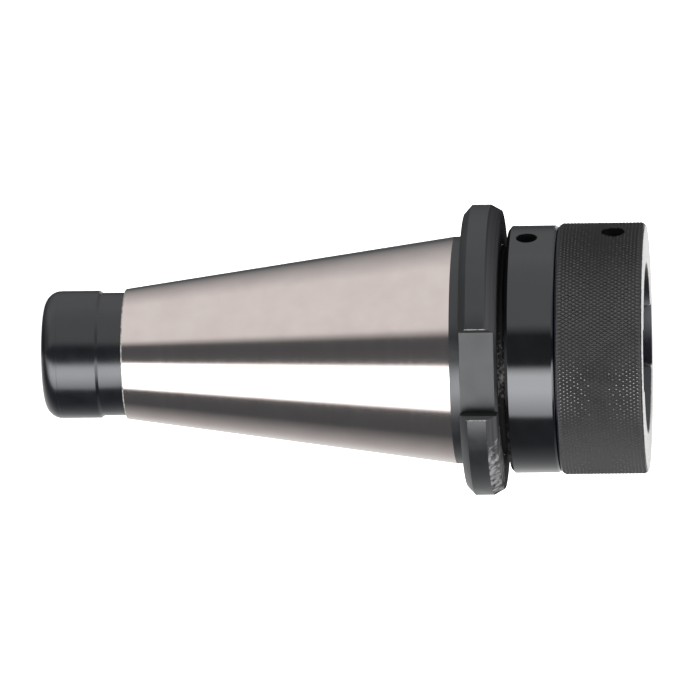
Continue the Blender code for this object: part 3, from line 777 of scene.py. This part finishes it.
def nut_mesh():
    """The nut turned whole: its knurl is rows of truncated diamonds between crossing grooves.

    Every crossing of the two groove families is a low vertex. A diamond stands between four of
    them, its flat top a smaller diamond at the blank's full radius. Towards both ends of the
    knurl more and more of the tops are worn shiny.
    """
    mesh = bmesh.new()
    length = z_mouth - z_nut
    low_z = NUT_EDGE - KNURL_DEPTH
    high_z = length - low_z
    row_step = (high_z - low_z) / KNURL_ROWS
    around_step = 2 * math.pi / NUT_SEGMENTS
    valley = NUT_RADIUS - KNURL_DEPTH

    def vertex(column, row, radius, height=None):
        angle = column * around_step
        z = low_z + row * row_step if height is None else height
        return mesh.verts.new(Vector((radius * math.cos(angle), radius * math.sin(angle), z)) * MM)

    def face(corners, finish):
        mesh.faces.new(corners).material_index = finish

    low_end = [vertex(c, 0, NUT_RADIUS - NUT_EDGE, 0) for c in range(NUT_SEGMENTS)]
    rim = NUT_RADIUS - NUT_EDGE + NUT_RIM
    high_end = [vertex(c, 0, rim, length - NUT_RIM) for c in range(NUT_SEGMENTS)]
    lattice = {}
    for row in range(KNURL_ROWS + 1):
        for column in range(NUT_SEGMENTS):
            if (row + column) % 2 or row in (0, KNURL_ROWS):
                lattice[row, column] = vertex(column, row, valley)
    for row in range(KNURL_ROWS + 1):
        for column in range(NUT_SEGMENTS):
            if (row + column) % 2:
                continue
            left = lattice[row, (column - 1) % NUT_SEGMENTS]
            right = lattice[row, (column + 1) % NUT_SEGMENTS]
            if row == 0:
                top = lattice[row, column]
                above = lattice[1, column]
                face((top, right, above), KNURL)
                face((top, above, left), KNURL)
                continue
            if row == KNURL_ROWS:
                top = lattice[row, column]
                below = lattice[row - 1, column]
                face((top, left, below), KNURL)
                face((top, below, right), KNURL)
                continue
            below, above = lattice[row - 1, column], lattice[row + 1, column]
            flat = KNURL_FLAT
            t_right = vertex(column + flat, row, NUT_RADIUS)
            t_above = vertex(column, row + flat, NUT_RADIUS)
            t_left = vertex(column - flat, row, NUT_RADIUS)
            t_below = vertex(column, row - flat, NUT_RADIUS)
            from_end = min(row, KNURL_ROWS - row)
            scatter = (7 * column + 3 * row) % KNURL_WORN_ROWS
            worn_and_sheen = scatter >= from_end - KNURL_ROWS_ALL_WORN
            face((t_right, t_above, t_left, t_below), CREST if worn_and_sheen else KNURL)
            face((right, above, t_above, t_right), KNURL)
            face((above, left, t_left, t_above), KNURL)
            face((left, below, t_below, t_left), KNURL)
            face((below, right, t_right, t_below), KNURL)
    for column in range(NUT_SEGMENTS):
        following = (column + 1) % NUT_SEGMENTS
        face((low_end[column], low_end[following], lattice[0, following], lattice[0, column]), OILED)
        top, top_next = lattice[KNURL_ROWS, column], lattice[KNURL_ROWS, following]
        face((top, top_next, high_end[following], high_end[column]), OILED)

    previous = high_end
    sections = [nut_inner(column * around_step) for column in range(NUT_SEGMENTS)]
    points = len(sections[0])
    # The outer chamfer's rim and the mouth's edge at the end face: scuffed steel, painted pale as highlight
    # lines
    finish_to = {1: NUT_RUBBED_HIGHLIGHT, 2: END_FACE, 3: NUT_RUBBED_HIGHLIGHT}
    for index in range(1, points):
        if index == points - 1:
            ring = low_end
        else:
            ring = [vertex(c, 0, sections[c][index][0], sections[c][index][1]) for c in range(NUT_SEGMENTS)]
        for column in range(NUT_SEGMENTS):
            following = (column + 1) % NUT_SEGMENTS
            corners = (previous[column], previous[following], ring[following], ring[column])
            face(corners, finish_to.get(index, OILED))
        previous = ring
    return mesh


def make_nut(finishes):
    """The nut with its slots and holes cut, turned as it is in the photograph."""
    nut = to_object("locking_nut", nut_mesh(), finishes)
    cut(nut, bayonet_slots(), finishes)
    cut(nut, paint(radial_drill(NUT_HOLE, NUT_RADIUS, z_mouth - z_nut), NUT_MILLED), finishes)
    cut(nut, paint(stop_slot(), OILED), finishes)
    smooth(nut)
    turn = Matrix.Translation((0, 0, z_nut * MM)) @ Matrix.Rotation(math.radians(REST_TURN), 4, "Z")
    nut.data.transform(turn)
    return nut


def make_camera():
    """A long lens, nearly level with the object but rolled a quarter, so +Z runs to the right."""
    elevation, angle = math.radians(CAMERA_ELEVATION), math.radians(CAMERA_ANGLE)
    back = Vector((
        math.cos(elevation) * math.cos(angle), math.cos(elevation) * math.sin(angle), math.sin(elevation)
    ))
    along = (Vector((0, 0, 1)) - back * back.z).normalized()
    over = back.cross(along)
    roll = math.radians(CAMERA_ROLL)
    right = along * math.cos(roll) - over * math.sin(roll)
    up = along * math.sin(roll) + over * math.cos(roll)
    data = bpy.data.cameras.new("camera")
    data.lens = CAMERA_LENS
    camera = bpy.data.objects.new("camera", data)
    bpy.context.scene.collection.objects.link(camera)
    place = Vector((0, 0, CAMERA_AIM)) + back * CAMERA_DISTANCE + up * CAMERA_DROP
    turn = Matrix((right, up, back)).transposed()
    camera.matrix_world = Matrix.Translation(place) @ turn.to_4x4()
    bpy.context.scene.camera = camera


def studio_level(angle):
    """The studio's level at an angle round the axis: the room's and that of each light there."""
    level = STUDIO_ROOM
    for begins, full_from, full_to, ends, brightness in STUDIO_LIGHTS:
        rising = (angle - begins) / (full_from - begins)
        falling = (ends - angle) / (ends - full_to)
        level += brightness * max(0.0, min(1.0, rising, falling))
    return level


def studio_colour(level):
    """The studio's light at a level: neutral where it is bright, a little blue in the dark room."""
    dark = max(0.0, 1 - level / STUDIO_DARK)
    return (*(level / STUDIO_BRIGHTEST * (1 + (tint - 1) * dark) for tint in STUDIO_DARK_TINT), 1.0)


def make_studio():
    """White all round to the eye. In reflections it is a dim room with its lights round the axis.

    The room grows darker towards the floor and the ceiling, and behind the object is a white card.
    """
    world = bpy.data.worlds.new("studio")
    world.use_nodes = True
    bpy.context.scene.world = world
    tree = world.node_tree
    tree.nodes.clear()
    direction = node(tree, "ShaderNodeTexCoord").outputs["Generated"]
    facing = node(
        tree, "ShaderNodeMapping", {"vector_type": "TEXTURE"}, Vector=direction,
        Rotation=(0, 0, math.radians(CAMERA_ANGLE)),
    )
    towards, aside, height = node(tree, "ShaderNodeSeparateXYZ", Vector=facing).outputs
    flipped = node(tree, "ShaderNodeMath", {"operation": "MULTIPLY"}, i0=aside, i1=-1.0)
    angle = node(tree, "ShaderNodeMath", {"operation": "ARCTAN2"}, i0=flipped, i1=towards)
    share = node(tree, "ShaderNodeMapRange", Value=angle, From_Min=-math.pi, From_Max=math.pi)
    corners = {angle for light in STUDIO_LIGHTS for angle in light[:4] if abs(angle) < 180}
    corners = sorted(corners | {-180, 180})
    stops = [((angle + 180) / 360, studio_colour(studio_level(angle))) for angle in corners]
    around = node(tree, "ShaderNodeValToRGB", stops=stops, Fac=share)
    steepness = node(tree, "ShaderNodeMath", {"operation": "ABSOLUTE"}, i0=height)
    strength = node(
        tree, "ShaderNodeMapRange", Value=steepness, From_Min=ROOM_DIMS_BETWEEN[0],
        From_Max=ROOM_DIMS_BETWEEN[1], To_Min=STUDIO_BRIGHTEST, To_Max=ROOM_DIMS_TO * STUDIO_BRIGHTEST,
    )
    room = node(tree, "ShaderNodeBackground", Color=around, Strength=strength)
    above = node(tree, "ShaderNodeMapRange", Value=height, From_Min=CARD_BOTTOM[0], From_Max=CARD_BOTTOM[1])
    behind = node(tree, "ShaderNodeMapRange", Value=towards, From_Min=CARD_SIDES[0], From_Max=CARD_SIDES[1])
    on_card = node(tree, "ShaderNodeMath", {"operation": "MULTIPLY"}, i0=above, i1=behind)
    card = node(tree, "ShaderNodeBackground", Color=(1, 1, 1, 1), Strength=CARD_LIGHT)
    reflected = node(tree, "ShaderNodeMixShader", Fac=on_card, i1=room, i2=card)
    white = node(tree, "ShaderNodeBackground", Color=(1, 1, 1, 1), Strength=BACKGROUND_LIGHT)
    seen = node(tree, "ShaderNodeLightPath").outputs["Is Camera Ray"]
    both = node(tree, "ShaderNodeMixShader", Fac=seen, i1=reflected, i2=white)
    node(tree, "ShaderNodeOutputWorld", Surface=both)


def make_floor():
    """A white round floor, lit so evenly that it runs into the white behind it."""
    mesh = bmesh.new()
    bmesh.ops.create_circle(mesh, cap_ends=True, segments=96, radius=FLOOR_RADIUS)
    floor = to_object("floor", mesh)
    made, tree = new_material("white_floor")
    paper = node(
        tree, "ShaderNodeBsdfPrincipled", Base_Color=linear("f4f4f4"), Roughness=0.9,
        Emission_Color=(1, 1, 1, 1), Emission_Strength=FLOOR_LIGHT,
    )
    node(tree, "ShaderNodeOutputMaterial", Surface=paper)
    floor.data.materials.append(made)
    floor.visible_glossy = False
    floor.visible_shadow = False
    floor.visible_diffuse = False


def finish_fittings(hardened, blackened, rubber, spring):
    """The small pieces keep their solids and get real finishes."""
    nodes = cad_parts
    chosen = {"dust_seal": rubber, "retaining_ring": spring, "stop_pin": hardened}
    for name in nodes:
        if name.startswith("drive_key"):
            chosen[name] = hardened
        if name.startswith("key_screw"):
            chosen[name] = blackened
    for name, finish in chosen.items():
        piece = nodes[name]
        piece.data.materials.clear()
        piece.data.materials.append(finish)


bpy.context.scene.view_settings.view_transform = "Standard"
make_camera()
make_studio()
make_floor()

# Black oxide, oiled. Finish turned, the collar mirrors the lights sharply. The pilot is softer.
blackened_collar = black_skin("black_oxide_turned", "08090a", "0b0c0e", 0.1, ior=1.65)
blackened_pilot = black_skin("black_oxide_pilot", "0a0a0d", "0f0f12", 0.2)
# Coarser turned and milled faces, on which the lights spread into a grey haze
blackened_flange = black_skin("black_oxide_flange", "121314", "18191a", 0.33, lines_mm=0.6)
blackened_slot = black_skin("black_oxide_milled", "0e0f0f", "151616", 0.44, lines_mm=0.7, depth_mm=0.004)
# The knurl's flanks, dry and charcoal grey, and its worn tops, which glint as rows of small dots
blackened_knurl = black_skin("black_oxide_knurled", "292828", "302f2f", 0.7, lines_mm=0.4, ior=1.4)
worn_crest = black_skin("worn_knurl_crest", "2a2a2a", "343433", 0.28, lines_mm=0.4, ior=1.9)
# Inside the nut the oil film is thick: black with a blue cast
oiled_bore = black_skin("oiled_bore", "0a0a15", "10101b", 0.3)
# Moulded nitrile rubber, dull and even, and small black screws with turned heads
rubber = black_skin("nitrile_rubber", "101010", "181818", 0.5, ior=1.5)
blackened_screw = black_skin("blackened_screw", "090a0b", "0e0f10", 0.3, lines_mm=0.4)
# Ground steel: the taper like a warm mirror, the end face paler and silkier, the keys greyer
bright = ground_steel("ground_steel", "c6bbb7", "ccc2be", 0.12)
face_steel = ground_steel("face_ground_steel", "d6d6d4", "e2e2e0", 0.28)
hardened = ground_steel("hardened_key_steel", "a6a29e", "b4b0ac", 0.25)
# Drawn spring wire, a dull grey
spring = ground_steel("spring_wire", "929293", "a2a2a3", 0.3)
# Scuffed edges, real wear, painted pale as highlight lines: cream on the nut, grey on the shank
bare_and_highlight = rubbed_edge_and_highlight("nut_edge_scuffed_and_highlight", "8c8a84", "d9d5c8")
bare_shank_and_highlight = rubbed_edge_and_highlight("shank_edge_scuffed_and_highlight", "6a6967", "a9a7a2")
# Unfinished scale: black in the neck, grey on the flange's front, with a painted highlight on one side
neck = black_scale_and_highlight("scaly_neck_painted_highlight", "101011", "343435", "6c6967", 1.1, highlight_towards=-88, highlight_from=0.98)
flange_front = black_scale_and_highlight(
    "scaly_flange_front_painted_highlight", "323234", "424244", "7a7879", 2.0, highlight_towards=-34, highlight_from=0.935
)

shank = make_shank([
    blackened_collar, bright, blackened_slot, blackened_pilot, blackened_flange, bare_shank_and_highlight, neck,
    flange_front,
])
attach(shank, "holder")
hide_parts("shank_body")

thread = make_thread(blackened_pilot)
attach(thread, "holder")

nut = make_nut([blackened_knurl, face_steel, oiled_bore, worn_crest, bare_and_highlight, blackened_slot])
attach(nut, "nut")
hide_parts("bayonet_nut")

finish_fittings(hardened, blackened_screw, rubber, spring)
